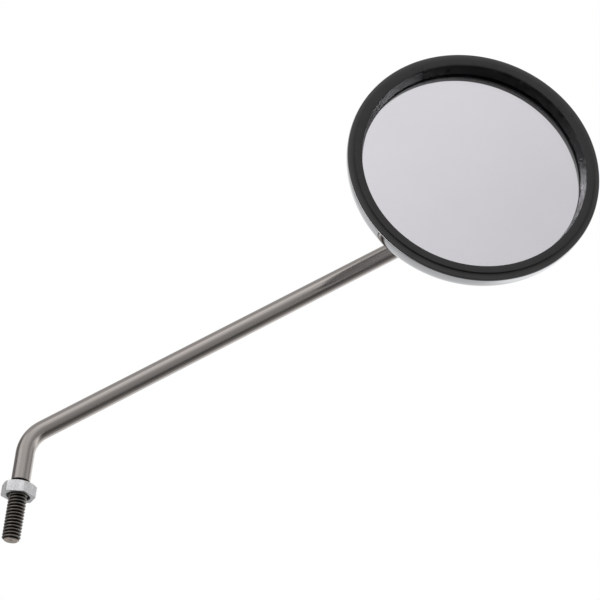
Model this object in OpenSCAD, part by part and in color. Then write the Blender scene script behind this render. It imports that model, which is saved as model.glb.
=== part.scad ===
// Round motorcycle mirror: a deep rubber-rimmed head on a ball joint, carried by a bent bar
// that ends in a thread with a lock nut. Millimetres, +Z up along the thread's axis.
// The origin is on that axis, in the face of the lock nut that clamps against the perch.
// The bar leans towards +X and the glass looks towards -Y.

/* [Stem] */
// Diameter of the bar that the stem is bent from
rod_d = 7.94; // [7:0.02:8.6]
// Radius of both bends, to the middle of the bar
bend_r = 15; // [13:0.5:17]
// Swelling of the bar's radius in its bends, where it was pressed round the die
bend_swell = 0.02; // [0.01:0.01:0.1]
// Height of the lower bend's corner above the lock nut's clamping face
corner_h = 26.5; // [20:0.5:60]
// Lean of the long run away from the thread's axis, in degrees
lean = 51.5; // [30:0.5:65]
// Length of the long run, from corner to corner
run_len = 216; // [150:1:320]
// Straight length of the neck, from its bend to the ball's shoulder
neck_straight = 2.2; // [2:0.1:12]

/* [Thread and lock nut] */
// Diameter over the crests of the thread
thread_d = 7.7; // [6.8:0.02:7.86]
// Length of thread below the lock nut
thread_len = 19.5; // [12:0.5:40]
// Length of the taper from the thread up to the bar, inside the lock nut
thread_runout = 0.8; // [0.6:0.1:2]
// Chamfer at the tip of the thread
tip_chamfer = 1; // [0.5:0.1:1.5]
// Width of the lock nut across its flats
nut_af = 13; // [12:0.1:17]
// Thickness of the lock nut
nut_h = 5; // [3.5:0.1:8]
// Turn of the lock nut's corners away from the lean, in degrees
nut_turn = -15; // [-30:1:30]
// Radial play of the lock nut on the bar
nut_play = 0.08; // [0.05:0.01:0.1]

/* [Ball joint] */
// Diameter of the ball
ball_d = 16; // [15.4:0.1:17]
// Largest tilt of the head away from the neck, in degrees
tilt_max = 20; // [10:1:22]
// Radius of the spigot that the ball turns on
spigot_r = 2.75; // [2:0.05:3.2]
// Radius of the riveted head on the spigot
rivet_r = 3.6; // [3.4:0.1:4]
// Height of that riveted head
rivet_h = 0.8; // [0.5:0.1:1]
// Radial play of the ball on its spigot, and along it
ball_play = 0.05; // [0.02:0.01:0.1]
// Gap between the ball and the hollow of its seats
cup_play = 0.1; // [0.05:0.01:0.2]
// Wall of the seats at the ball's equator
seat_wall = 1.9; // [1.5:0.1:2.4]
// Gap between the two seats
seat_split = 0.5; // [0.3:0.1:1]
// How far the rear seat stops short of the ball's back
rear_cut = 2.8; // [2.6:0.1:3.2]
// How far the front seat stops short of the ball's front
front_cut = 1.5; // [1:0.1:2]
// Play of the seats in their pockets
seat_play = 0.1; // [0.05:0.01:0.2]
// Height of the disc spring as fitted
spring_h = 2.1; // [1.9:0.1:3]
// Thickness of the disc spring
spring_t = 0.6; // [0.4:0.1:0.8]

/* [Clamp] */
// Radius of the flat that is pressed in the middle of the shell's back
flat_r = 21; // [20.4:0.1:23]
// Distance from the middle of the ball back to that flat
flat_back = 2; // [1.6:0.1:2.4]
// Thickness of the gasket under the clamp cap
gasket_t = 1; // [0.6:0.1:1.2]
// Thickness of the clamp cap's flange
flange_t = 2; // [1.8:0.1:2.4]
// Wall of the clamp cap around the rear seat
cap_wall = 1.2; // [1:0.1:1.6]
// Thickness of the clamp cap over the rear seat's end
cap_end_t = 2.2; // [1.6:0.1:2.4]
// Thickness of the bracket plate
bracket_t = 1.2; // [1:0.1:1.5]
// Radius of the circle that the three screws stand on
screw_circle_r = 16.3; // [16:0.1:16.5]
// Radius of the screws' threads
screw_r = 2; // [1.5:0.1:2]
// Radius of the screws' heads
screw_head_r = 3.4; // [3:0.1:3.5]
// Height of the screws' heads
screw_head_h = 2.4; // [2:0.1:3]
// Radial clearance of the screws in their holes
screw_play = 0.15; // [0.1:0.05:0.3]
// Width of the small nuts across their flats
small_nut_af = 7; // [6:0.1:7.2]
// Thickness of the small nuts
small_nut_h = 3.2; // [2.4:0.1:4]
// Thickness of the lock washers
washer_t = 0.9; // [0.6:0.1:1.1]

/* [Shell and glass] */
// Outside diameter of the rubber rim
rim_d = 110; // [106:0.5:130]
// Distance from the middle of the ball forward to the plane of the shell's edge
rim_front = 27.8; // [27:0.1:34]
// Thickness of the shell's sheet
shell_t = 0.8; // [0.6:0.1:1]
// Radius of the shell's side, which rolls into its back
side_r = 18; // [17:0.5:22]
// Height of the straight edge that the rubber sits on, at the rim of the shell
edge_h = 0.8; // [0.6:0.1:1.5]
// Thickness of the mirror glass
glass_t = 2; // [1.8:0.1:3]
// Depth of the glass below the plane of the shell's edge
glass_depth = 3.8; // [3:0.1:5]
// Diameter of the foam pad behind the glass
pad_d = 60; // [40:1:70]

/* [Rubber rim] */
// Distance that the shell's edge stands out past the rubber
edge_proud = 0.2; // [0.1:0.05:0.3]
// Radius of the rounding on the rim's outside
bead_r = 1.1; // [0.8:0.05:1.2]
// Width of the outer land
outer_land_w = 2.65; // [2.2:0.05:3.2]
// Height of the step up to the inner land
land_step = 0.8; // [0.5:0.1:1.5]
// Width of the inner land
inner_land_w = 3.3; // [2.8:0.1:3.6]
// Fall of the inner land towards the glass
land_fall = 0.1; // [0:0.1:0.6]
// Radius of the rounding at the inner land's edge
lip_round = 0.5; // [0.3:0.1:0.6]
// Lean of the inner wall from the lip in to the glass
wall_lean = 1.15; // [0.4:0.05:1.6]
// Cover of the rim over the edge of the glass
glass_cover = 1.9; // [1.6:0.1:2]
// Thickness of the rim's flange behind the glass
rear_flange_t = 1.1; // [0.8:0.1:1.3]
// Gap left round the glass and along the shell, in the rubber
rubber_gap = 0.1; // [0.05:0.01:0.15]

/* [Hidden] */
$fn = 96;

rod_r = rod_d / 2;
thread_r = thread_d / 2;
ball_r = ball_d / 2;
rim_r = rim_d / 2;

// The two corners of the bar take this much of each straight run
lower_take = bend_r * tan(lean / 2);
upper_take = bend_r;

// Each straight run laps into the bends beside it, where they are the swelling thicker
lap = sqrt(bend_r * bend_swell);

// The ball's middle lies this far from the long run's axis
shoulder_rim = 0.32;
ball_flat = sqrt(pow(ball_r, 2) - pow(rod_r + shoulder_rim, 2));
shoulder = ball_flat + ball_play;
neck_len = bend_r + neck_straight + shoulder;
ball_pos = [run_len * sin(lean), -neck_len, corner_h + run_len * cos(lean)];

// Everything on the head is drawn with the ball's middle at zero and +Z out of the glass
cup_r = ball_r + cup_play;
seat_r = cup_r + seat_wall;
pocket_r = seat_r + seat_play;
seat_back = ball_r - rear_cut;
seat_front = ball_r - front_cut;
rivet_reach = norm([rivet_r, shoulder + rivet_h]);
rivet_turned = atan(rivet_r / (shoulder + rivet_h)) + tilt_max;
tilt_room = 0.4;
relief_r = rivet_reach * sin(rivet_turned) + tilt_room;
cup_floor = max(seat_front + spring_h, rivet_reach + tilt_room) + seat_play;
bracket_front = cup_floor + bracket_t;

// The lock nut has a full chamfer on its upper side and is only deburred below
nut_corner_drop = 0.75;
nut_low_r = nut_af * 0.56;
nut_low_drop = 0.12;
small_nut_drop = 0.4;

// Radius that the tilted neck needs at a distance behind the ball
function neck_room(back) = back * tan(tilt_max) + rod_r / cos(tilt_max) + tilt_room;

pocket_back = seat_back + seat_play;
cap_back = pocket_back + cap_end_t;
gasket_back = flat_back + gasket_t;
flange_back = gasket_back + flange_t;
boss_r = norm([pocket_r, pocket_back]) + cap_wall;
flange_r = flat_r - 1;
bracket_back = flat_back - shell_t;
bracket_face = bracket_t - bracket_back;
hole_r = screw_r + screw_play;
screw_end = bracket_face + washer_t + small_nut_h + 1;

// The shell's section: a side arc that rolls into a crown arc, cut off by the flat
shell_r = rim_r + edge_proud;
edge_z = rim_front - edge_h;
side_c = shell_r - side_r;
rise = (edge_z + flat_back) / side_r;
offset_k = (pow(flat_r, 2) - pow(side_c, 2) + pow(flat_back, 2) - pow(edge_z, 2) + pow(side_r, 2))
    / (2 * side_r);
quad_a = pow(rise, 2) - 1;
quad_b = rise * offset_k - flat_back;
quad_c = pow(offset_k, 2) - pow(flat_r, 2) - pow(flat_back, 2);
crown_z = (-quad_b + sqrt(pow(quad_b, 2) - quad_a * quad_c)) / quad_a;
crown_r = rise * crown_z + offset_k;
crown_turn = atan(side_c / (crown_z - edge_z));

// The rim's section, from its widest circle inwards
land_z = rim_front + bead_r;
step_r = rim_r - outer_land_w;
lip_r = step_r - inner_land_w;
step_z = land_z + land_step;
lip_z = step_z - land_fall - lip_round;
glass_z = rim_front - glass_depth;
glass_back_z = glass_z - glass_t;
sight_r = lip_r - wall_lean;
glass_r = sight_r + glass_cover;
far = 4 * crown_r;

// Puts the head's own axis on the ball, square to the plane that the bar leans in
module at_ball() {
    translate(ball_pos)
        rotate([90, 0, 0])
            children();
}

// Puts a thing at one of the three screws
module at_screw(number) {
    at_ball()
        rotate([0, 0, 90 + 120 * number])
            translate([screw_circle_r, 0, 0])
                children();
}

// A straight stretch of bar along +Z
module bar(length) {
    cylinder(r = rod_r, h = length);
}

// A bend that starts along +Z and turns towards +X
module bend(angle) {
    translate([bend_r, 0, 0])
        rotate([90, 0, 180])
            rotate_extrude(angle = angle)
                translate([bend_r, 0])
                    circle(r = rod_r + bend_swell);
}

// Goes on from the end of such a bend
module after_bend(angle) {
    translate([bend_r * (1 - cos(angle)), 0, bend_r * sin(angle)])
        rotate([0, angle, 0])
            children();
}

// The straight lower run, with its end turned down for the thread
module threaded_end(lower_run) {
    rotate_extrude()
        polygon([
            [0, -thread_len],
            [thread_r - tip_chamfer, -thread_len],
            [thread_r, tip_chamfer - thread_len],
            [thread_r, 0],
            [rod_r, thread_runout],
            [rod_r, lower_run + lap],
            [0, lower_run + lap]
        ]);
}

// The end of the neck, turned down to a spigot for the ball and riveted over in front of it
module spigot() {
    neck_start = bend_r - neck_len - lap;
    rotate_extrude()
        polygon([
            [0, neck_start],
            [rod_r, neck_start],
            [rod_r, -shoulder],
            [spigot_r, -shoulder],
            [spigot_r, shoulder],
            [rivet_r, shoulder],
            [rivet_r, shoulder + rivet_h / 2],
            [rivet_r - rivet_h / 2, shoulder + rivet_h],
            [0, shoulder + rivet_h]
        ]);
}

// One bar: thread, lower bend, long run, upper bend square to the first, neck and spigot
module stem() {
    lower_run = corner_h - lower_take;
    long_run = run_len - lower_take - upper_take;
    color("#8f8884") {
        threaded_end(lower_run);
        translate([0, 0, lower_run]) {
            bend(lean);
            after_bend(lean) {
                translate([0, 0, -lap])
                    bar(long_run + 2 * lap);
                translate([0, 0, long_run])
                    rotate([0, 0, -90])
                        bend(90);
            }
        }
        at_ball() spigot();
    }
}

// A hexagon with its corners turned down at the upper face and, from low_r out, at the lower one
module hexagon_nut(across, height, bore, corner_drop, low_r, low_drop) {
    corner_r = across / 2 / cos(30);
    difference() {
        intersection() {
            cylinder(r = corner_r, h = height, $fn = 6);
            rotate_extrude()
                polygon([
                    [0, 0],
                    [low_r, 0],
                    [corner_r, low_drop],
                    [corner_r, height - corner_drop],
                    [across / 2 - 0.2, height],
                    [0, height]
                ]);
        }
        translate([0, 0, -1])
            cylinder(r = bore, h = height + 2);
        rotate_extrude()
            polygon([[0, -0.01], [bore + 0.4, -0.01], [bore, 0.4], [0, 0.4]]);
        rotate_extrude()
            polygon([
                [0, height + 0.01],
                [bore + 0.4, height + 0.01],
                [bore, height - 0.4],
                [0, height - 0.4]
            ]);
    }
}

module lock_nut() {
    color("#cfd0d0")
        rotate([0, 0, nut_turn])
            hexagon_nut(nut_af, nut_h, rod_r + nut_play, nut_corner_drop, nut_low_r, nut_low_drop);
}

module ball() {
    color("#b9bcc0")
        at_ball()
            difference() {
                intersection() {
                    sphere(r = ball_r);
                    translate([0, 0, -ball_flat])
                        cylinder(r = ball_d, h = 2 * ball_flat);
                }
                translate([0, 0, -ball_d])
                    cylinder(r = spigot_r + ball_play, h = 2 * ball_d);
            }
}

// The seat behind the ball, open at the back for the neck
module rear_seat() {
    color("#e6e2d8")
        at_ball()
            difference() {
                translate([0, 0, -seat_back])
                    cylinder(r = seat_r, h = seat_back - seat_split / 2);
                sphere(r = cup_r);
                translate([0, 0, -ball_d])
                    cylinder(r = neck_room(seat_back), h = ball_d);
            }
}

// The seat in front of the ball, open for the riveted end of the spigot
module front_seat() {
    color("#e6e2d8")
        at_ball()
            difference() {
                translate([0, 0, seat_split / 2])
                    cylinder(r = seat_r, h = seat_front - seat_split / 2);
                sphere(r = cup_r);
                cylinder(r = relief_r, h = ball_d);
            }
}

// A coned washer that pushes the front seat on to the ball
module disc_spring() {
    outer = seat_r - 0.3;
    inner = relief_r + 0.1;
    top = cup_floor - seat_play;
    color("#8a8d92")
        at_ball()
            rotate_extrude()
                polygon([
                    [outer, seat_front],
                    [outer, seat_front + spring_t],
                    [inner, top],
                    [inner, top - spring_t]
                ]);
}

// The chromed cap that holds the rear seat: a flange and a boss round about the ball
module clamp_cap() {
    edge_round = 0.8;
    color("#d4d6d8")
        at_ball()
            difference() {
                rotate_extrude()
                    difference() {
                        union() {
                            translate([0, -flange_back])
                                square([flange_r - edge_round, flange_t]);
                            translate([0, -gasket_back - flange_t + edge_round])
                                square([flange_r, flange_t - edge_round]);
                            translate([flange_r - edge_round, edge_round - flange_back])
                                circle(r = edge_round);
                            intersection() {
                                circle(r = boss_r);
                                translate([0, -cap_back])
                                    square([boss_r, cap_back - gasket_back]);
                            }
                        }
                        translate([-1, -pocket_back])
                            square([pocket_r + 1, pocket_back]);
                        polygon([
                            [-1, -pocket_back],
                            [neck_room(pocket_back), -pocket_back],
                            [neck_room(cap_back + 1), -cap_back - 1],
                            [-1, -cap_back - 1]
                        ]);
                        translate([-1, -cap_back - 1])
                            square([1, cap_back + 1]);
                    }
                screw_holes(flange_back, flange_t);
            }
}

// Three clearance holes that start a distance behind the ball
module screw_holes(back, depth) {
    for (number = [1:3])
        rotate([0, 0, 90 + 120 * number])
            translate([screw_circle_r, 0, -back - 1])
                cylinder(r = hole_r, h = depth + 2);
}

module cap_gasket() {
    color("#26262a")
        at_ball()
            difference() {
                translate([0, 0, -gasket_back])
                    cylinder(r = (flange_r + flat_r) / 2, h = gasket_t);
                translate([0, 0, -gasket_back - 1])
                    cylinder(r = pocket_r + 0.4, h = gasket_t + 2);
                screw_holes(gasket_back, gasket_t);
            }
}

// The pressed plate inside the shell: a flange for the nuts and a cup for the front seat
module bracket_plate() {
    bend_in = 1.2;
    outer = pocket_r + bracket_t;
    color("#a7a48f")
        at_ball()
            difference() {
                rotate_extrude()
                    difference() {
                        union() {
                            translate([0, -bracket_back])
                                square([flat_r - 1.2, bracket_t]);
                            translate([0, -bracket_back])
                                square([outer, bracket_front - bend_in + bracket_back]);
                            square([outer - bend_in, bracket_front]);
                            translate([outer - bend_in, bracket_front - bend_in])
                                circle(r = bend_in);
                        }
                        translate([-1, -bracket_back - 1])
                            square([pocket_r + 1, cup_floor + bracket_back + 1]);
                        translate([-1, -bracket_back - 1])
                            square([1, bracket_front + bracket_back + 2]);
                    }
                screw_holes(bracket_back, bracket_t);
            }
}

// The space inside the shell's outer surface, shrunk all round by a distance
module bowl_section(shrink, top) {
    intersection() {
        union() {
            translate([side_c, edge_z])
                circle(r = side_r - shrink);
            intersection() {
                translate([0, crown_z])
                    circle(r = crown_r - shrink);
                polygon([
                    [0, crown_z],
                    [0, crown_z - far],
                    [far * sin(crown_turn), crown_z - far * cos(crown_turn)]
                ]);
            }
            translate([0, edge_z])
                square([shell_r - shrink, top - edge_z]);
        }
        translate([0, shrink - flat_back])
            square([rim_d, top - shrink + flat_back]);
        union() {
            translate([0, -rim_d])
                square([rim_d, rim_d + edge_z]);
            translate([0, edge_z])
                square([shell_r - shrink, top - edge_z]);
        }
    }
}

// The chromed bowl, drawn from one sheet, with a short straight edge
module shell() {
    color("#c9cbcd")
        at_ball()
            difference() {
                rotate_extrude()
                    difference() {
                        bowl_section(0, rim_front);
                        bowl_section(shell_t, rim_front + 1);
                        translate([-1, -flat_back - 1])
                            square([pocket_r + 1.4, shell_t + 2]);
                    }
                screw_holes(flat_back, shell_t);
            }
}

// The moulded rubber: it sits on the shell's edge outside and has a slot for the glass inside
module rim_ring() {
    color("#1c1c1e")
        at_ball()
            rotate_extrude()
                difference() {
                    union() {
                        intersection() {
                            bowl_section(shell_t + rubber_gap, land_z);
                            rim_body();
                        }
                        rim_lands();
                        intersection() {
                            translate([rim_r - bead_r, rim_front])
                                circle(r = bead_r);
                            translate([0, rim_front])
                                square([rim_r, bead_r]);
                        }
                    }
                    translate([0, glass_back_z])
                        square([glass_r + rubber_gap, glass_t]);
                }
}

// The inner wall, which leans in down to the glass, and the flange behind the glass
module rim_body() {
    polygon([
        [lip_r, lip_z],
        [rim_r, lip_z],
        [rim_r, glass_back_z - rear_flange_t],
        [sight_r, glass_back_z - rear_flange_t],
        [sight_r, glass_z]
    ]);
}

// The two lands on the front, with the step between them
module rim_lands() {
    polygon([
        [lip_r, rim_front],
        [rim_r - bead_r, rim_front],
        [rim_r - bead_r, land_z],
        [step_r, land_z],
        [step_r, step_z - 0.2],
        [step_r - 0.2, step_z],
        [lip_r + lip_round, lip_z + lip_round],
        [lip_r + lip_round, lip_z],
        [lip_r, lip_z]
    ]);
    translate([lip_r + lip_round, lip_z])
        circle(r = lip_round);
}

module mirror_glass() {
    color("#d5d5da")
        at_ball()
            translate([0, 0, glass_back_z])
                cylinder(r = glass_r, h = glass_t);
}

// The foam disc that keeps the glass off the bracket
module glass_pad() {
    color("#55524e")
        at_ball()
            translate([0, 0, bracket_front])
                cylinder(d = pad_d, h = glass_back_z - bracket_front);
}

// A pan-head screw with a cross recess, its head outside on the clamp cap
module screw(number) {
    dome = 1;
    slot = 0.9;
    color("#c6c8ca")
        at_screw(number) {
            difference() {
                translate([0, 0, -flange_back])
                    rotate_extrude()
                        difference() {
                            union() {
                                translate([0, -screw_head_h])
                                    square([screw_head_r - dome, screw_head_h]);
                                translate([0, dome - screw_head_h])
                                    square([screw_head_r, screw_head_h - dome]);
                                translate([screw_head_r - dome, dome - screw_head_h])
                                    circle(r = dome);
                            }
                            translate([-screw_head_r, -screw_head_h - 1])
                                square([screw_head_r, screw_head_h + 2]);
                        }
                for (turn = [0, 90])
                    rotate([0, 0, turn])
                        translate([-1.9, -slot / 2, -flange_back - screw_head_h - 1])
                            cube([3.8, slot, 2.4]);
            }
            translate([0, 0, -flange_back])
                cylinder(r = screw_r, h = flange_back + screw_end);
        }
}

// A split washer under each small nut
module lock_washer(number) {
    color("#9b9da0")
        at_screw(number)
            translate([0, 0, bracket_face])
                difference() {
                    cylinder(r = small_nut_af / 2 - 0.1, h = washer_t);
                    translate([0, 0, -1])
                        cylinder(r = hole_r, h = washer_t + 2);
                    rotate([20, 0, 0])
                        translate([0, -0.2, -washer_t])
                            cube([small_nut_af, 0.4, 4 * washer_t]);
                }
}

module small_nut(number) {
    color("#c3c4bd")
        at_screw(number)
            translate([0, 0, bracket_face + washer_t])
                hexagon_nut(
                small_nut_af, small_nut_h, screw_r + 0.03,
                small_nut_drop, small_nut_af / 2 - 0.2, small_nut_drop
            );
}

stem();
lock_nut();
ball();
rear_seat();
front_seat();
disc_spring();
clamp_cap();
cap_gasket();
bracket_plate();
shell();
rim_ring();
mirror_glass();
glass_pad();
screw(1);  // screw_1
screw(2);  // screw_2
screw(3);  // screw_3
lock_washer(1);  // lock_washer_1
lock_washer(2);  // lock_washer_2
lock_washer(3);  // lock_washer_3
small_nut(1);  // small_nut_1
small_nut(2);  // small_nut_2
small_nut(3);  // small_nut_3
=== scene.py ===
# Round motorcycle mirror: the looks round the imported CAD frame, in metres, with +Z up along
# the stem's thread. The bar leans to +X and the glass looks to -Y.
import math

import bmesh
import bpy
from mathutils import Matrix, Vector


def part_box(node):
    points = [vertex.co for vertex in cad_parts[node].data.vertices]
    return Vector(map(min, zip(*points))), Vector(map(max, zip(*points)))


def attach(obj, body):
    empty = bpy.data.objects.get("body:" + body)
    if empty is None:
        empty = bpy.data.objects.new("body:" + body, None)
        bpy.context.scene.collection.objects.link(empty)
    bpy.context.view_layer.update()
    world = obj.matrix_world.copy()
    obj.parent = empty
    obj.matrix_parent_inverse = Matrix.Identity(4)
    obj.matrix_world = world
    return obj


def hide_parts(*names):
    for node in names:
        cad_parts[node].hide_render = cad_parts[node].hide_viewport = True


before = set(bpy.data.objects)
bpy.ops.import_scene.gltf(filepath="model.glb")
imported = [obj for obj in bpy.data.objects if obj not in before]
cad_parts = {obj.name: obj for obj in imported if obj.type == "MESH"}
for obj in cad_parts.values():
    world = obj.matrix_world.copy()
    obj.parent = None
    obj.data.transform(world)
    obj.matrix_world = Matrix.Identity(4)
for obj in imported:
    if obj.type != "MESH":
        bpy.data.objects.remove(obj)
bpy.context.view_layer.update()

mm = 0.001
weldDistance = 0.001 * mm       # points that are closer than this become one
sharpAngle = math.radians(38)   # edges that fold more than this stay sharp
cutAngle = math.radians(30)     # likewise, on a piece that was cut
headSteps = 256                 # sides of bowl, rim and glass, the same so that they fit each other
noiseRange = (0.3, 0.7)         # noise seldom leaves it
print("stage: frame loaded")


# Small tools

def hexColour(text):
    # sRGB hex to the linear values that the shaders take
    channels = [int(text[start:start + 2], 16) / 255 for start in (1, 3, 5)]
    linear = [
        channel / 12.92 if channel <= 0.04045 else ((channel + 0.055) / 1.055) ** 2.4
        for channel in channels
    ]
    return (*linear, 1)


def feed(tree, node, inputs):
    # inputs: socket name or number to a value, a hex colour, or the output that it is linked from
    for socket, value in inputs.items():
        if isinstance(value, bpy.types.NodeSocket):
            tree.links.new(value, node.inputs[socket])
        elif isinstance(value, str):
            node.inputs[socket].default_value = hexColour(value)
        else:
            node.inputs[socket].default_value = value


def addNode(tree, kind, inputs=(), **settings):
    # inputs: as for feed, or values in the order of the node's sockets
    node = tree.nodes.new(kind)
    for name, value in settings.items():
        setattr(node, name, value)
    feed(tree, node, inputs if isinstance(inputs, dict) else dict(enumerate(inputs)))
    return node


def newMaterial(name):
    material = bpy.data.materials.new(name)
    material.use_nodes = True
    tree = material.node_tree
    tree.nodes.clear()
    shader = addNode(tree, "ShaderNodeBsdfPrincipled")
    addNode(tree, "ShaderNodeOutputMaterial", {"Surface": shader.outputs["BSDF"]})
    return material, tree, shader


def meshPiece(name, points, faces, uvs=None):
    mesh = bpy.data.meshes.new(name)
    mesh.from_pydata(points, [], faces)
    if uvs:
        layer = mesh.uv_layers.new(name="inMillimetres")
        for loop in mesh.loops:
            layer.data[loop.index].uv = uvs[loop.vertex_index]
    work = bmesh.new()
    work.from_mesh(mesh)
    bmesh.ops.remove_doubles(work, verts=work.verts, dist=weldDistance)
    bmesh.ops.dissolve_degenerate(work, edges=work.edges, dist=weldDistance)
    bmesh.ops.recalc_face_normals(work, faces=work.faces)
    work.to_mesh(mesh)
    work.free()
    mesh.shade_smooth()
    mesh.set_sharp_from_angle(angle=sharpAngle)
    piece = bpy.data.objects.new(name, mesh)
    bpy.context.scene.collection.objects.link(piece)
    return piece


def turnedFaces(steps, count):
    # quads between the neighbouring columns of a turned piece, each a closed loop of points
    faces = []
    for step in range(steps):
        column = step * count
        following = (step + 1) % steps * count
        for point in range(count):
            above = (point + 1) % count
            faces.append((column + point, following + point, following + above, column + above))
    return faces


def lathe(name, outline, place, steps):
    # outline: closed loop of (radius, height) in mm, turned about place's own Z axis
    runs = [0]
    for (radius, height), (nextRadius, nextHeight) in zip(outline, outline[1:]):
        runs.append(runs[-1] + math.hypot(nextRadius - radius, nextHeight - height))
    middle = sum(radius for radius, height in outline) / len(outline)
    points, uvs = [], []
    for step in range(steps):
        turn = math.tau * step / steps
        for (radius, height), run in zip(outline, runs):
            points.append(place @ Vector((radius * math.cos(turn), radius * math.sin(turn), height)))
            uvs.append((turn * middle, run))
    return meshPiece(name, points, turnedFaces(steps, len(outline)), uvs)


def arc(centre, radius, start, end, count):
    angles = [math.radians(start + (end - start) * step / count) for step in range(count + 1)]
    return [(centre[0] + radius * math.cos(turn), centre[1] + radius * math.sin(turn)) for turn in angles]


def fillet(corners, count):
    # corners: closed loop of (radius, height, rounding); gives the loop with its corners rounded
    sideShare = 0.48            # the most of a side that one rounding takes
    loop = []
    for number, (radius, height, rounding) in enumerate(corners):
        if not rounding:
            loop.append((radius, height))
            continue
        here = Vector((radius, height))
        before = Vector(corners[number - 1][:2]) - here
        after = Vector(corners[(number + 1) % len(corners)][:2]) - here
        half = before.angle(after) / 2
        reach = min(rounding / math.tan(half), sideShare * before.length, sideShare * after.length)
        spokeLength = reach * math.tan(half)
        inwards = (before.normalized() + after.normalized()).normalized()
        middle = here + inwards * spokeLength / math.sin(half)
        first = here + before.normalized() * reach - middle
        last = here + after.normalized() * reach - middle
        for step in range(count + 1):
            spoke = first.slerp(last, step / count).normalized() * spokeLength
            loop.append(tuple(middle + spoke))
    return loop


def cut(piece, cutter):
    modifier = piece.modifiers.new("cut", "BOOLEAN")
    modifier.object = cutter
    modifier.operation = "DIFFERENCE"
    modifier.solver = "EXACT"
    with bpy.context.temp_override(object=piece, active_object=piece):
        bpy.ops.object.modifier_apply(modifier=modifier.name)
    bpy.data.objects.remove(cutter)
    piece.data.set_sharp_from_angle(angle=cutAngle)


def finish(piece, material, slotName, body, *nodes):
    piece.data.materials.append(material)
    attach(piece, body)
    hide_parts(*nodes)


def finishNode(node, material):
    # a CAD node whose shape is right keeps its mesh and takes the material
    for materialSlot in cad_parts[node].material_slots:
        materialSlot.material = material


# The thread's axes are the world's, in mm. The head's own axes, in mm too: the ball's middle
# at zero, +Z out of the glass, +Y up.
ballLow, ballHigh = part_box("ball")
ballMiddle = (Vector(ballLow) + Vector(ballHigh)) / 2
threadPlace = Matrix.Scale(mm, 4)
headPlace = (
    Matrix.Translation(ballMiddle)
    @ Matrix(((1, 0, 0, 0), (0, 0, -1, 0), (0, 1, 0, 0), (0, 0, 0, 1)))
    @ threadPlace
)


# Materials

def grain(tree, size, detail=2, roughness=0.5, stretch=(1, 1, 1), source="Object"):
    # noise whose lumps are about size mm; object space is in metres, the UV map in millimetres
    unit = 1 if source == "UV" else 1 / mm
    coordinates = addNode(tree, "ShaderNodeTexCoord")
    mapping = addNode(tree, "ShaderNodeMapping", {
        "Vector": coordinates.outputs[source],
        "Scale": tuple(unit / size * share for share in stretch),
    })
    return addNode(tree, "ShaderNodeTexNoise", {
        "Vector": mapping.outputs["Vector"],
        "Scale": 1.0,
        "Detail": detail,
        "Roughness": roughness,
    }).outputs["Fac"]


def dress(tree, shader, tones, rough, relief=None, inputs=()):
    # what the finishes share. tones: pattern, dark, light; rough: a roughness or an output;
    # relief: pattern, strength, depth in mm; inputs: the shader's other sockets
    colour = addNode(tree, "ShaderNodeMix", dict(zip(("Factor", "A", "B"), tones)), data_type="RGBA")
    feed(tree, shader, {"Base Color": colour.outputs[2], "Roughness": rough, **dict(inputs)})
    if relief:
        pattern, strength, depth = relief
        bump = addNode(tree, "ShaderNodeBump", {
            "Height": pattern, "Strength": strength, "Distance": depth * mm,
        })
        feed(tree, shader, {"Normal": bump.outputs["Normal"]})


def distanceFrom(tree, middle, across):
    # distance in metres from the axis through middle; across has 0 for the way that the axis runs
    position = addNode(tree, "ShaderNodeTexCoord").outputs["Object"]
    offset = addNode(tree, "ShaderNodeVectorMath", (position, middle), operation="SUBTRACT")
    flat = addNode(tree, "ShaderNodeVectorMath", (offset.outputs["Vector"], across), operation="MULTIPLY")
    length = addNode(tree, "ShaderNodeVectorMath", (flat.outputs["Vector"],), operation="LENGTH")
    return length.outputs["Value"]


stemFinish = {
    "bar": "#c3bdb9",            # stainless has a slightly warm grey
    "barDark": "#aca5a1",
    "threadCrest": "#a39e98",    # oily rolled crests
    "threadRootDirtAndShade": "#191817",     # oil and dirt in the valleys, and painted shade there
    "tip": "#cbc0b6",            # cut end, bare
    "roughness": 0.2,
    "threadRoughness": 0.42,
    "drawLine": 0.12,            # mm between draw lines, as coarse as it needs to show
    "drawLength": 14,            # mm that a draw line runs
    "smudge": 18,                # mm, handling marks
    "rootToCrest": (3.2, 3.8),   # mm from the axis: dirt and painted shade at the first, crest at the second
    # heights in mm over which the crests, the whole thread and the bare tip end
    # between the crests' end and the thread's end the bar takes the root's dark colour: painted shade where
    # the bar meets the lock nut, over the run-out groove
    "crestEnd": (5.5, 5.7),
    "threadEnd": (6.75, 6.85),
    "tipEnd": (-19.3, -19.1),
}


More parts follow.
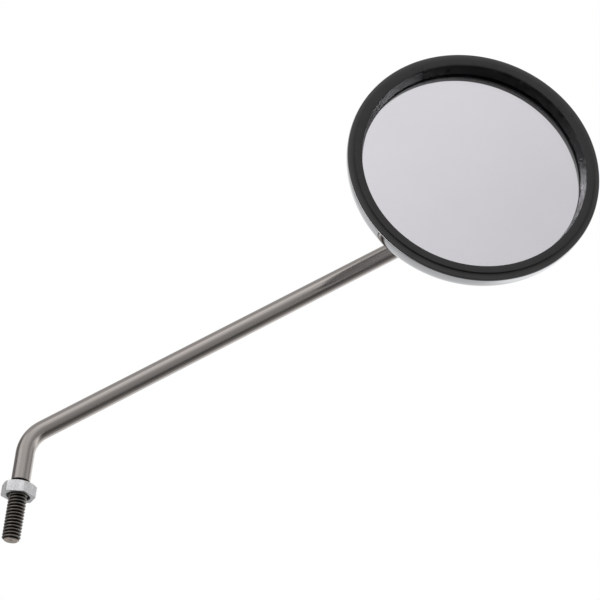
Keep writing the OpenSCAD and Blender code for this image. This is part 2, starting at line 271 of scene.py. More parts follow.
def drawnStainlessBar():
    # drawn and polished stainless bar: fine lines along it, soft smudges, a dark thread of oil, dirt and
    # painted shade in its valleys, and a painted band of shade above the lock nut
    look = stemFinish
    material, tree, shader = newMaterial("drawnStainlessBar")
    lines = grain(tree, look["drawLine"], 3, 0.6, (1, look["drawLine"] / look["drawLength"], 1), "UV")
    smudges = grain(tree, look["smudge"], 3, 0.55)
    position = addNode(tree, "ShaderNodeTexCoord").outputs["Object"]
    height = addNode(tree, "ShaderNodeSeparateXYZ", (position,)).outputs["Z"]
    zones = []
    for zone in ("crestEnd", "threadEnd", "tipEnd"):
        low, high = [end * mm for end in look[zone]]
        zones.append(addNode(tree, "ShaderNodeMapRange", (height, low, high, 1.0, 0.0)).outputs[0])
    underCrestEnd, onThread, onTip = zones
    root, crest = [radius * mm for radius in look["rootToCrest"]]
    outwards = addNode(tree, "ShaderNodeMapRange", (
        distanceFrom(tree, (0, 0, 0), (1, 1, 0)), root, crest, 0.0, 1.0,
    ))
    # above the crests' end the colour falls to the root's: the painted band of shade above the lock nut
    crestShare = addNode(tree, "ShaderNodeMath", (
        outwards.outputs[0], underCrestEnd,
    ), operation="MULTIPLY")
    barColour = addNode(tree, "ShaderNodeMix", {
        "Factor": lines, "A": look["barDark"], "B": look["bar"],
    }, data_type="RGBA")
    threadColour = addNode(tree, "ShaderNodeMix", {
        "Factor": crestShare.outputs[0], "A": look["threadRootDirtAndShade"], "B": look["threadCrest"],
    }, data_type="RGBA")
    endColour = addNode(tree, "ShaderNodeMix", {
        "Factor": onTip, "A": threadColour.outputs[2], "B": look["tip"],
    }, data_type="RGBA")
    smooth = addNode(tree, "ShaderNodeMapRange", (
        smudges, *noiseRange, look["roughness"] - 0.03, look["roughness"] + 0.05,
    ))
    rough = addNode(tree, "ShaderNodeMix", {
        "Factor": onThread, "A": smooth.outputs[0], "B": look["threadRoughness"],
    })
    tones = (onThread, barColour.outputs[2], endColour.outputs[2])
    dress(tree, shader, tones, rough.outputs[0], (lines, 0.12, 0.02), {"Metallic": 1.0})
    return material


nutFinish = {
    "light": "#fafafb",
    "dark": "#cfcfd2",
    # oil, dirt and painted shade round the thread
    "dirtAndShade": "#24221f",
    "dirtAndShadeToPlate": (4.9, 5.2),   # mm from the thread's axis
    "spangle": 0.7,              # mm across a crystal
    "cloud": 3,                  # mm
    "roughness": 0.34,
    "metallic": 0.75,            # the crystals scatter so much light that the plate looks partly matt
}


def zincPlatedNut():
    # bright zinc plate over a cold-forged face: mottled, finely pitted, darkened round the thread by dirt
    # and painted shade
    look = nutFinish
    material, tree, shader = newMaterial("zincPlatedNut")
    spangles = grain(tree, look["spangle"], 4, 0.7)
    clouds = grain(tree, look["cloud"], 2)
    mottle = addNode(tree, "ShaderNodeMix", {"Factor": 0.35, "A": spangles, "B": clouds})
    tone = addNode(tree, "ShaderNodeMapRange", (mottle.outputs[0], 0.35, 0.65, 0.0, 1.0))
    plate = addNode(tree, "ShaderNodeMix", {
        "Factor": tone.outputs[0], "A": look["dark"], "B": look["light"],
    }, data_type="RGBA")
    # oil and dirt in the countersinks, and painted shade there and along the line where the bar meets the
    # nut
    low, high = [radius * mm for radius in look["dirtAndShadeToPlate"]]
    dirtAndShade = addNode(tree, "ShaderNodeMapRange", (
        distanceFrom(tree, (0, 0, 0), (1, 1, 0)), low, high, 1.0, 0.0,
    ))
    rough = addNode(tree, "ShaderNodeMapRange", (
        spangles, *noiseRange, look["roughness"] - 0.08, look["roughness"] + 0.1,
    ))
    tones = (dirtAndShade.outputs[0], plate.outputs[2], look["dirtAndShade"])
    dress(tree, shader, tones, rough.outputs[0], (spangles, 0.35, 0.08), {"Metallic": look["metallic"]})
    return material


rubberFinish = {
    "dark": "#222222",
    "light": "#2a292a",
    "edgeSheen": "#434141",         # painted sheen: the outer edge is a lighter grey
    "plainToSheen": (52.6, 55.2),    # mm from the head's axis
    "edgeRough": 0.15,         # the outer edge is rougher too
    "pebble": 0.35,              # mm, the mould's grain
    "bloom": 9,                  # mm, faint patches
    "roughness": 0.3,
    "specular": 0.35,
    "grip": 0.12,                # how strongly the pebble shows
}
# the inner wall is smooth, and darker: painted shade in the recess between the lip and the glass
wallFinish = {**rubberFinish, "dark": "#121112", "light": "#171617", "specular": 0.1, "grip": 0.0}
gasketFinish = {**rubberFinish, "roughness": 0.45}    # a cut sheet is duller than a moulding


def mouldedRubber(name, look):
    # black moulded rubber: satin, with the mould's fine pebble, a faint bloom, and a painted sheen on the
    # outer edge, which is also rougher
    material, tree, shader = newMaterial(name)
    pebbles = grain(tree, look["pebble"], 3, 0.6)
    bloom = grain(tree, look["bloom"], 3, 0.5)
    tone = addNode(tree, "ShaderNodeMapRange", (bloom, *noiseRange, 0.0, 1.0))
    plainTone = addNode(tree, "ShaderNodeMix", {
        "Factor": tone.outputs[0], "A": look["dark"], "B": look["light"],
    }, data_type="RGBA")
    # painted sheen: lighter grey towards the outer edge, in patches
    low, high = [radius * mm for radius in look["plainToSheen"]]
    edge = addNode(tree, "ShaderNodeMapRange", (
        distanceFrom(tree, ballMiddle, (1, 0, 1)), low, high, 0.0, 1.0,
    ))
    patchy = addNode(tree, "ShaderNodeMapRange", (bloom, 0.2, 0.8, 0.7, 1.0))
    sheenShare = addNode(tree, "ShaderNodeMath", (edge.outputs[0], patchy.outputs[0]), operation="MULTIPLY")
    rough = addNode(tree, "ShaderNodeMapRange", (
        bloom, *noiseRange, look["roughness"] - 0.04, look["roughness"] + 0.06,
    ))
    rougher = addNode(tree, "ShaderNodeMath", (
        sheenShare.outputs[0], look["edgeRough"], rough.outputs[0],
    ), operation="MULTIPLY_ADD")
    dress(
        tree, shader, (sheenShare.outputs[0], plainTone.outputs[2], look["edgeSheen"]), rougher.outputs[0],
        (pebbles, look["grip"], 0.03), {"Specular IOR Level": look["specular"]},
    )
    return material


chromeFinish = {
    "light": "#dfe0e2",
    "dark": "#d2d3d6",
    "roughness": 0.05,
    "haze": 22,                  # mm, left by wiping
    "ripple": 7,                 # mm, the very shallow wave that pressing leaves
}


def chromePlate():
    # chrome over polished nickel on pressed steel: near-mirror, with a slight haze and ripple
    look = chromeFinish
    material, tree, shader = newMaterial("chromePlate")
    haze = grain(tree, look["haze"], 4, 0.6)
    ripple = grain(tree, look["ripple"], 1)
    rough = addNode(tree, "ShaderNodeMapRange", (
        haze, 0.35, 0.7, look["roughness"] - 0.02, look["roughness"] + 0.03,
    ))
    tones = (haze, look["dark"], look["light"])
    dress(tree, shader, tones, rough.outputs[0], (ripple, 0.05, 0.02), {"Metallic": 1.0})
    return material


glassFinish = {
    "clear": "#fafafc",
    "clearDark": "#f7f7f9",
    "silver": "#f3f1f5",
    "silverDark": "#efedf1",
    "film": 30,                  # mm, patches of a film that wiping leaves
}


def clearFloatGlass():
    # clear float glass, wiped clean: the silver shows through it with hardly any tint
    look = glassFinish
    material, tree, shader = newMaterial("clearFloatGlass")
    film = grain(tree, look["film"], 3, 0.5)
    rough = addNode(tree, "ShaderNodeMapRange", (film, 0.35, 0.7, 0.0, 0.01))
    dress(tree, shader, (film, look["clearDark"], look["clear"]), rough.outputs[0], None, {
        "Transmission Weight": 1.0, "IOR": 1.52,
    })
    return material


def silvering():
    # the silvered back of the glass: a clean neutral mirror
    look = glassFinish
    material, tree, shader = newMaterial("silveredBack")
    film = grain(tree, look["film"], 3, 0.5)
    rough = addNode(tree, "ShaderNodeMapRange", (film, *noiseRange, 0.004, 0.02))
    tones = (film, look["silverDark"], look["silver"])
    dress(tree, shader, tones, rough.outputs[0], None, {"Metallic": 1.0})
    return material


def groundSteel(name, light, dark, roughness):
    # ground steel, wiped with grease: fine rings 0.05 mm apart along Y, under soft grease marks
    material, tree, shader = newMaterial(name)
    rings = grain(tree, 0.3, 2, 0.5, (1, 6, 1))
    grease = grain(tree, 3.5, 3, 0.5)
    rough = addNode(tree, "ShaderNodeMapRange", (grease, *noiseRange, roughness - 0.06, roughness + 0.08))
    dress(tree, shader, (rings, dark, light), rough.outputs[0], (rings, 0.1, 0.02), {"Metallic": 1.0})
    return material


def zincPlatedSteel(name, light, dark, roughness):
    # small parts in blue-white zinc: even, with clouds 1.4 mm across
    material, tree, shader = newMaterial(name)
    clouds = grain(tree, 1.4, 3, 0.6)
    rough = addNode(tree, "ShaderNodeMapRange", (clouds, *noiseRange, roughness - 0.05, roughness + 0.07))
    dress(tree, shader, (clouds, dark, light), rough.outputs[0], (clouds, 0.08, 0.02), {"Metallic": 1.0})
    return material


def naturalNylon():
    # turned nylon rod in its own milky colour: waxy, with faint tool lines 0.05 mm apart along Y
    material, tree, shader = newMaterial("naturalNylon")
    lines = grain(tree, 0.25, 2, 0.5, (1, 5, 1))
    rough = addNode(tree, "ShaderNodeMapRange", (lines, *noiseRange, 0.4, 0.52))
    dress(tree, shader, (lines, "#d9d4c6", "#e9e5da"), rough.outputs[0], (lines, 0.15, 0.03), {
        "IOR": 1.53,
        "Subsurface Weight": 0.15,
        "Subsurface Radius": (1.0, 0.9, 0.7),
        "Subsurface Scale": 1.5 * mm,
    })
    return material


def closedCellFoam():
    # charcoal polyethylene foam: dull, with closed cells 0.9 mm across
    material, tree, shader = newMaterial("closedCellFoam")
    position = addNode(tree, "ShaderNodeTexCoord").outputs["Object"]
    cells = addNode(tree, "ShaderNodeTexVoronoi", {"Vector": position, "Scale": 1 / (0.9 * mm)})
    tone = addNode(tree, "ShaderNodeMapRange", (cells.outputs["Distance"], 0.0, 0.7, 0.0, 1.0)).outputs[0]
    dress(tree, shader, (tone, "#4a4744", "#5f5b57"), 0.9, (tone, 0.5, 0.2))
    return material


barMaterial = drawnStainlessBar()
nutMaterial = zincPlatedNut()
rubberMaterial = mouldedRubber("mouldedRubber", rubberFinish)
wallMaterial = mouldedRubber("smoothRubberPaintedShade", wallFinish)
gasketMaterial = mouldedRubber("cutRubberSheet", gasketFinish)
chromeMaterial = chromePlate()
glassMaterial = clearFloatGlass()
silverMaterial = silvering()
ballMaterial = groundSteel("groundBearingSteel", "#cdced0", "#b4b6b9", 0.2)
springMaterial = groundSteel("blueSpringSteel", "#8b8f99", "#6f737d", 0.32)
screwMaterial = zincPlatedSteel("zincPlatedScrew", "#dadde0", "#c4c7cb", 0.24)
bracketMaterial = zincPlatedSteel("zincPlatedSheet", "#cfcfcc", "#b7b8b5", 0.34)
nylonMaterial = naturalNylon()
foamMaterial = closedCellFoam()
print("stage: materials made")


# Stem

stemSizes = {
    "barRadius": 3.97,
    "bendRadius": 15,
    "cornerHeight": 26.5,
    "lean": 51.5,               # degrees away from the thread
    "runLength": 216,           # corner to corner
    "threadBottom": -19.5,
    "threadTop": 5.5,           # the thread runs out just above the lock nut
    "threadFade": 1.2,          # over this length
    "pitch": 1.411,             # 18 to the inch
    "threadDepth": 0.82,
    "crestRadius": 3.85,
    "crestFrom": 0.86,          # share of half a pitch, counted from the root
    "rootTo": 0.2,              # likewise
    "rootRise": 0.08,           # share of the depth that the root's rounding takes
    "crestTurn": 0.35,          # where round the bar the crest starts, in turns
    "tipChamfer": 1.0,
    "tipDish": 0.35,            # the cut end is slightly hollow
    "grooveDepth": 0.15,        # where the thread ends
    "groove": (5.6, 5.7, 6.75, 6.9),    # heights of its edges and floor
    "straightMiddle": 12,       # height of one more ring, between groove and bend
    "spigotRadius": 2.75,
    "shoulderChamfer": 0.25,
    "rivetRadius": 3.6,
    "rivetHeight": 0.8,
    "rivetSide": 0.35,          # the riveted end is straight up to here, then it rounds over
    "rivetShoulder": 0.62,
}
# the stem's spigot carries the ball, which is made further down
ballSizes = {
    "radius": 8,
    "bore": 2.8,
    "shoulderRim": 0.32,        # the ball's flats reach this far past the bar
    "play": 0.05,               # on the spigot, at each end
    "steps": 96,
}
# mm between the thread's rings, points round the bar, and rings in each further stretch
stemSteps = {"thread": 0.09, "round": 72, "lowerBend": 24, "run": 20, "upperBend": 32}

ballFlat = math.sqrt(ballSizes["radius"] ** 2 - (stemSizes["barRadius"] + ballSizes["shoulderRim"]) ** 2)
shoulder = ballFlat + ballSizes["play"]


def threadProfile(phase):
    # depth below the crest, 0 to 1, over one pitch: narrow crest, sloping flanks, rounded root
    sizes = stemSizes
    fromRoot = abs((phase % 1) - 0.5) * 2
    if fromRoot > sizes["crestFrom"]:
        return 0.0
    if fromRoot < sizes["rootTo"]:
        return 1 - sizes["rootRise"] * (fromRoot / sizes["rootTo"]) ** 2
    flank = (sizes["crestFrom"] - fromRoot) / (sizes["crestFrom"] - sizes["rootTo"])
    return (1 - sizes["rootRise"]) * flank


def threadRadius(height, turn):
    sizes = stemSizes
    phase = height / sizes["pitch"] - turn / math.tau - sizes["crestTurn"]
    depth = sizes["threadDepth"] * threadProfile(phase)
    full = min(1, max(0, (sizes["threadTop"] - height) / sizes["threadFade"]))
    crest = sizes["crestRadius"] + (sizes["barRadius"] - sizes["crestRadius"]) * (1 - full)
    chamfer = sizes["crestRadius"] - sizes["tipChamfer"] + (height - sizes["threadBottom"])
    return min(crest - depth * full, chamfer)


def stemRings():
    # the bar's middle line as (point, direction, radius or None for thread, distance along)
    sizes = stemSizes
    barRadius, bendRadius = sizes["barRadius"], sizes["bendRadius"]
    lean = math.radians(sizes["lean"])
    bendTake = bendRadius * math.tan(lean / 2)
    up = Vector((0, 0, 1))
    run = Vector((math.sin(lean), 0, math.cos(lean)))
    neck = Vector((0, -1, 0))
    corner = up * sizes["cornerHeight"]
    top = corner + run * sizes["runLength"]
    rings = []
    threadLength = sizes["threadTop"] - sizes["threadBottom"]
    count = math.ceil(threadLength / stemSteps["thread"])
    for step in range(count + 1):
        height = sizes["threadBottom"] + threadLength * step / count
        rings.append((up * height, up, None, height))
    for height, depth in zip(sizes["groove"], (0, sizes["grooveDepth"], sizes["grooveDepth"], 0)):
        rings.append((up * height, up, barRadius - depth, height))
    rings.append((up * sizes["straightMiddle"], up, barRadius, sizes["straightMiddle"]))
    # lower bend
    along = sizes["cornerHeight"] - bendTake
    middle = up * along + Vector((bendRadius, 0, 0))
    for step in range(stemSteps["lowerBend"] + 1):
        turn = lean * step / stemSteps["lowerBend"]
        point = middle + Vector((-math.cos(turn), 0, math.sin(turn))) * bendRadius
        heading = Vector((math.sin(turn), 0, math.cos(turn)))
        rings.append((point, heading, barRadius, along + bendRadius * turn))
    along += bendRadius * lean
    straight = sizes["runLength"] - bendTake - bendRadius
    start = corner + run * bendTake
    for step in range(1, stemSteps["run"]):
        part = straight * step / stemSteps["run"]
        rings.append((start + run * part, run, barRadius, along + part))
    along += straight
    # upper bend, square to the first
    middle = top - run * bendRadius + neck * bendRadius
    for step in range(stemSteps["upperBend"] + 1):
        turn = math.pi / 2 * step / stemSteps["upperBend"]
        point = middle + (-neck * math.cos(turn) + run * math.sin(turn)) * bendRadius
        heading = run * math.cos(turn) + neck * math.sin(turn)
        rings.append((point, heading, barRadius, along + bendRadius * turn))
    along += bendRadius * math.pi / 2
    # neck, spigot and riveted end, by their height on the head's own axis
    ends = [
        (-shoulder - sizes["shoulderChamfer"], barRadius),
        (-shoulder, barRadius - sizes["shoulderChamfer"]),
        (-shoulder, sizes["spigotRadius"]),
        (shoulder, sizes["spigotRadius"]),
        (shoulder, sizes["rivetRadius"]),
        (shoulder + sizes["rivetSide"], sizes["rivetRadius"]),
        (shoulder + sizes["rivetShoulder"], sizes["rivetRadius"] * 0.9),
        (shoulder + sizes["rivetHeight"], sizes["rivetRadius"] * 0.6),
    ]
    for height, radius in ends:
        rings.append((headPlace @ Vector((0, 0, height)) / mm, neck, radius, along + height))
    return rings


def makeStem():
    rings = stemRings()
    points, uvs, faces = [], [], []
    across = Vector((1, 0, 0))
    before = rings[0][1]
    steps = stemSteps["round"]
    count = steps + 1           # the seam has two points, for the UV map
    for point, heading, ringRadius, along in rings:
        across = before.rotation_difference(heading) @ across
        before = heading
        other = heading.cross(across)
        for step in range(count):
            turn = math.tau * step / steps
            radius = threadRadius(point.z, turn) if ringRadius is None else ringRadius
            spoke = across * math.cos(turn) + other * math.sin(turn)
            points.append((point + spoke * radius) * mm)
            uvs.append((turn * stemSizes["barRadius"], along))
    for ring in range(len(rings) - 1):
        for first in range(ring * count, ring * count + steps):
            faces.append((first, first + 1, first + 1 + count, first + count))
    for ring, dish in ((0, stemSizes["tipDish"]), (len(rings) - 1, 0)):
        point, heading, ringRadius, along = rings[ring]
        centre = len(points)
        points.append((point + heading * dish) * mm)
        uvs.append((0, along))
        for first in range(ring * count, ring * count + steps):
            faces.append((first, centre, first + 1) if dish else (first, first + 1, centre))
    return meshPiece("stemBar", points, faces, uvs)


finish(makeStem(), barMaterial, "stem_steel", "stem", "stem")
print("stage: stem made")


# Lock nut

nutSizes = {
    "acrossFlats": 13,
    "height": 5,
    "turn": -15,                # degrees
    "cornerDrop": 0.75,         # how far the turned cone reaches down the corners, on the upper side
    "flatEdge": 6.3,            # radius where that cone starts
    "lowEdge": 7.28,            # the lower side is only deburred
    "lowDrop": 0.12,
    "cornerCut": 0.105,         # how far the corners' rounding takes them in
    "bore": 4.05,
    "boreChamfer": 1.1,         # countersink that leads the thread in
    "steps": 180,               # a multiple of 12 puts points on corners and on middles of flats
}
# points up a flat stand close where the cones cut it: heights from below, depths from the top
nutLowRows = (0, 0.04, 0.08, 0.14, 0.2, 0.3)
nutTopRows = (1.1, 0.95, 0.82, 0.7, 0.58, 0.46, 0.35, 0.25, 0.16, 0.08, 0)


def hexRadius(turn, across, cornerCut):
    # radius of a hexagon with slightly rounded corners, with a corner at turn 0
    fold = (turn + math.pi / 6) % (math.pi / 3) - math.pi / 6
    flat = across / 2 / math.cos(math.pi / 6 - abs(fold))
    corner = across / 2 / math.cos(math.pi / 6) - cornerCut
    tightness = 40              # how closely the blend follows the smaller of the two
    return -math.log(math.exp(-tightness * flat) + math.exp(-tightness * corner)) / tightness


def makeLockNut():
    sizes = nutSizes
    steps = sizes["steps"]
    height, bore, countersink = sizes["height"], sizes["bore"], sizes["boreChamfer"]
    cornerRadius = sizes["acrossFlats"] / 2 / math.cos(math.pi / 6)
    topSlope = sizes["cornerDrop"] / (cornerRadius - sizes["flatEdge"])
    lowSlope = sizes["lowDrop"] / (cornerRadius - sizes["lowEdge"])
    rows = [*nutLowRows, height / 2, *(height - depth for depth in nutTopRows)]
    points = []
    for step in range(steps):
        turn = math.tau * step / steps
        hexagon = hexRadius(turn, sizes["acrossFlats"], sizes["cornerCut"])
        # one more point on each flat face keeps the bevels' shading off it
        column = [(bore, countersink), (bore + countersink, 0), (hexagon * 0.8, 0)]
        for row in rows:
            topCone = sizes["flatEdge"] + (height - row) / topSlope
            lowCone = sizes["lowEdge"] + row / lowSlope
            column.append((min(hexagon, topCone, lowCone), row))
        column.append((sizes["flatEdge"] * 0.97, height))
        column += [(bore + countersink, height), (bore, height - countersink)]
        around = turn + math.radians(sizes["turn"])
        for radius, row in column:
            across, sideways = radius * math.cos(around), radius * math.sin(around)
            points.append(threadPlace @ Vector((across, sideways, row)))
    return meshPiece("lockNut", points, turnedFaces(steps, len(column)))


finish(makeLockNut(), nutMaterial, "zinc_plate", "lock_nut", "lock_nut")
print("stage: lock nut made")


# Ball

flatAngle = math.degrees(math.asin(ballFlat / ballSizes["radius"]))
ballOutline = [
    (ballSizes["bore"], -ballFlat),
    *arc((0, 0), ballSizes["radius"], -flatAngle, flatAngle, 40),
    (ballSizes["bore"], ballFlat),
]
jointBall = lathe("jointBall", ballOutline, headPlace, ballSizes["steps"])
finish(jointBall, ballMaterial, "ball_steel", "ball", "ball")
print("stage: ball made")


# Clamp cap

capSizes = {
    "flangeRadius": 20,
    "flangeFront": -3,
    "flangeBack": -5,
    "back": -7.5,
    "bossRadius": 12.6,         # of the ball-shaped boss over the seat
    "bossMiddle": -6.3,         # height of a point on it between flange and back
    "pocketRadius": 10.1,
    "pocketBack": -5.3,
    "tilt": 20,                 # degrees that the head tilts on the ball
    "tiltRoom": 0.4,
    "screwCircle": 16.3,
    "screwHole": 2.15,
    "steps": 144,
    "holeSteps": 48,
}


def neckRoom(height):
    # radius that the tilted neck needs at a height behind the ball
    tilt = math.radians(capSizes["tilt"])
    return -height * math.tan(tilt) + stemSizes["barRadius"] / math.cos(tilt) + capSizes["tiltRoom"]


def bossRadiusAt(height):
    return math.sqrt(capSizes["bossRadius"] ** 2 - height ** 2)


def screwPlace(number):
    # one of the three places round the cap, with +X outwards
    turn = Matrix.Rotation(math.radians(90 + 120 * number), 4, "Z")
    return headPlace @ turn @ Matrix.Translation((capSizes["screwCircle"], 0, 0))


def makeCap():
    sizes = capSizes
    outline = fillet([
        (sizes["pocketRadius"], sizes["flangeFront"], 0.15),
        (sizes["flangeRadius"], sizes["flangeFront"], 0.15),
        (sizes["flangeRadius"], sizes["flangeBack"], 0.8),
        (bossRadiusAt(sizes["flangeBack"]), sizes["flangeBack"], 0.7),
        (bossRadiusAt(sizes["bossMiddle"]), sizes["bossMiddle"], 1.5),
        (bossRadiusAt(sizes["back"]), sizes["back"], 0.5),
        (neckRoom(sizes["back"]), sizes["back"], 0.3),
        (neckRoom(sizes["pocketBack"]), sizes["pocketBack"], 0.15),
        (sizes["pocketRadius"], sizes["pocketBack"], 0.2),
    ], 7)
    cap = lathe("clampCap", outline, headPlace, sizes["steps"])
    front, back = sizes["flangeFront"] + 1, sizes["flangeBack"] - 1
    hole = [(0, back), (sizes["screwHole"], back), (sizes["screwHole"], front), (0, front)]
    for number in (1, 2, 3):
        cut(cap, lathe("screwHole", hole, screwPlace(number), sizes["holeSteps"]))
    return cap


finish(makeCap(), chromeMaterial, "chrome", "head", "clamp_cap")
print("stage: clamp cap made")


# Pieces that keep their CAD meshes

finishNode("rear_seat", nylonMaterial)
finishNode("front_seat", nylonMaterial)
finishNode("disc_spring", springMaterial)
finishNode("cap_gasket", gasketMaterial)
finishNode("bracket_plate", bracketMaterial)
finishNode("glass_pad", foamMaterial)
for number in (1, 2, 3):
    finishNode(f"lock_washer_{number}", screwMaterial)
    finishNode(f"small_nut_{number}", bracketMaterial)
print("stage: hidden pieces finished")


# Cap screws

screwSizes = {
    "headRadius": 3.4,
    "headHeight": 2.4,
    "domeHeight": 1.15,
    "domeFrom": 4,              # degrees round the dome
    "domeTo": 80,
    "domeSteps": 9,
    "headSide": 0.9,            # height of the straight side under the dome
    "headChamfer": 0.12,
    "shankRadius": 2.0,
    "threadStart": -1.5,
    "threadDepth": 0.38,
    "pitch": 0.7,
    "end": 5.1,
    "endLength": 1.2,           # no turn of the thread starts this close to the end
    "endChamfer": 0.5,
    "recessLength": 3.7,
    "recessWidth": 0.85,
    "recessDepth": 1.4,
    # the driver's cross tapers: shares of its length and width at the mouth and at the floor
    "recessMouth": (1.1, 1.1),
    "recessFloor": (0.62, 0.8),
    "cutterOver": 0.3,          # how far the cutter stands out of the head
    "crossTurn": 20,            # degrees between one screw's cross and the next
    "steps": 64,
}


def crossArm(place, top):
    # a tapered bar that cuts one arm of the driver's cross
    sizes = screwSizes
    work = bmesh.new()
    bmesh.ops.create_cube(work, size=1)
    for vertex in work.verts:
        deep = vertex.co.z > 0
        longShare, wideShare = sizes["recessFloor"] if deep else sizes["recessMouth"]
        vertex.co = Vector((
            vertex.co.x * sizes["recessLength"] * longShare,
            vertex.co.y * sizes["recessWidth"] * wideShare,
            top + sizes["recessDepth"] if deep else top - sizes["cutterOver"],
        ))
    mesh = bpy.data.meshes.new("crossArm")
    work.to_mesh(mesh)
    work.free()
    mesh.transform(place)
    arm = bpy.data.objects.new("crossArm", mesh)
    bpy.context.scene.collection.objects.link(arm)
    return arm


def capScrew(number):
    sizes = screwSizes
    seat = capSizes["flangeBack"]
    top = seat - sizes["headHeight"]
    outline = [(0, top)]
    domeArc = sizes["domeTo"] - sizes["domeFrom"]
    for step in range(sizes["domeSteps"] + 1):
        turn = math.radians(sizes["domeFrom"] + domeArc * step / sizes["domeSteps"])
        dome = top + sizes["domeHeight"] * (1 - math.cos(turn))
        outline.append((sizes["headRadius"] * math.sin(turn), dome))
    outline += [
        (sizes["headRadius"], seat - sizes["headSide"]),
        (sizes["headRadius"], seat - sizes["headChamfer"]),
        (sizes["headRadius"] - sizes["headChamfer"], seat),
        (sizes["shankRadius"], seat),
        (sizes["shankRadius"], sizes["threadStart"]),
    ]
    height = sizes["threadStart"]
    while height < sizes["end"] - sizes["endLength"]:
        outline.append((sizes["shankRadius"] - sizes["threadDepth"], height + sizes["pitch"] / 2))
        outline.append((sizes["shankRadius"], height + sizes["pitch"]))
        height += sizes["pitch"]
    outline += [(sizes["shankRadius"] - sizes["endChamfer"], sizes["end"]), (0, sizes["end"])]
    place = screwPlace(number)
    screw = lathe(f"capScrew{number}", outline, place, sizes["steps"])
    for turn in (0, 90):
        crossTurn = math.radians(turn + sizes["crossTurn"] * number)
        cut(screw, crossArm(place @ Matrix.Rotation(crossTurn, 4, "Z"), top))
    finish(screw, screwMaterial, "screw_steel", "head", f"screw_{number}")


for number in (1, 2, 3):
    capScrew(number)
print("stage: cap screws made")


# Chromed bowl

shellSizes = {
    "sideMiddle": 37.2,         # radius at which the side arc has its centre
    "sideRadius": 18,
    "sideInset": 0.01,          # keeps the chrome's widest circle inside the CAD's
    "edgeHeight": 27,
    "rimFront": 27.8,
    "flatRadius": 21,
    "flatHeight": -2,
    "holeRadius": 11.5,
    "thickness": 0.8,
    "edgeRound": 0.35,          # the sheet's edge is rounded over, so it catches a bright line
}


def bowlCrown():
    # height of the centre, radius and turn in degrees of the arc that touches the side arc and
    # ends at the flat's edge: its radius is rise * height + offset, which leaves a quadratic
    sizes = shellSizes
    middle, side, edge = sizes["sideMiddle"], sizes["sideRadius"], sizes["edgeHeight"]
    flatRadius, flat = sizes["flatRadius"], sizes["flatHeight"]
    rise = (edge - flat) / side
    offset = (flatRadius ** 2 - middle ** 2 + flat ** 2 - edge ** 2 + side ** 2) / (2 * side)
    square = rise ** 2 - 1
    linear = rise * offset + flat
    constant = offset ** 2 - flatRadius ** 2 - flat ** 2
    height = (-linear + math.sqrt(linear ** 2 - square * constant)) / square
    return height, rise * height + offset, math.degrees(math.atan(middle / (height - edge)))


def bowlSide(shrink, top):
    # the bowl's section from its straight edge to its flat, moved inwards by shrink
    sizes = shellSizes
    crownHeight, crownRadius, crownTurn = bowlCrown()
    sideRadius = sizes["sideRadius"] - sizes["sideInset"] - shrink
    side = arc((sizes["sideMiddle"], sizes["edgeHeight"]), sideRadius, 0, crownTurn - 90, 36)
    flat = sizes["flatHeight"] + shrink
    endTurn = math.degrees(math.acos((crownHeight - flat) / (crownRadius - shrink)))
    crown = arc((0, crownHeight), crownRadius - shrink, crownTurn - 90, endTurn - 90, 20)
    return [(sizes["sideMiddle"] + sideRadius, top), *side, *crown[1:], (sizes["holeRadius"], flat)]


def makeBowl():
    sizes = shellSizes
    outer = bowlSide(0, sizes["rimFront"])
    inner = bowlSide(sizes["thickness"], sizes["rimFront"])
    edgeRadius = outer[0][0]
    roundMiddle = (edgeRadius - sizes["edgeRound"], sizes["rimFront"] - sizes["edgeRound"])
    edge = arc(roundMiddle, sizes["edgeRound"], 90, 0, 8)
    return lathe("chromeBowl", edge + outer[1:] + inner[::-1], headPlace, headSteps)


finish(makeBowl(), chromeMaterial, "chrome", "head", "shell")
print("stage: bowl made")


# Rubber rim

glassSizes = {
    "front": 24,
    "back": 22,
    "radius": 49.8,
    "silverGap": 0.02,          # the silvering lies this far inside the glass's back
}
rimSizes = {
    "rimRadius": 55.0,
    "rimFront": 27.8,           # plane of the bowl's edge, which the rubber sits on
    "landRise": 1.1,            # from there to the outer land
    "edgeRound": 0.4,
    "outerLandWidth": 2.65,
    "outerFall": 0.25,          # the outer land is slightly domed
    "landStep": 0.8,
    "innerLandWidth": 3.3,
    "landFall": 0.1,
    "lipRound": 0.5,
    "wallLean": 1.15,           # the inner wall leans in from the lip to the glass
    "rearFlange": 1.1,
    "bowlGap": 0.1,             # between the rubber and the inside of the bowl
    "glassGap": 0.04,           # film of air between glass and rubber
    "slotGap": 0.1,             # round the glass's edge
    "wallFrom": 0.12,           # the smooth wall starts this far inside the lip
}


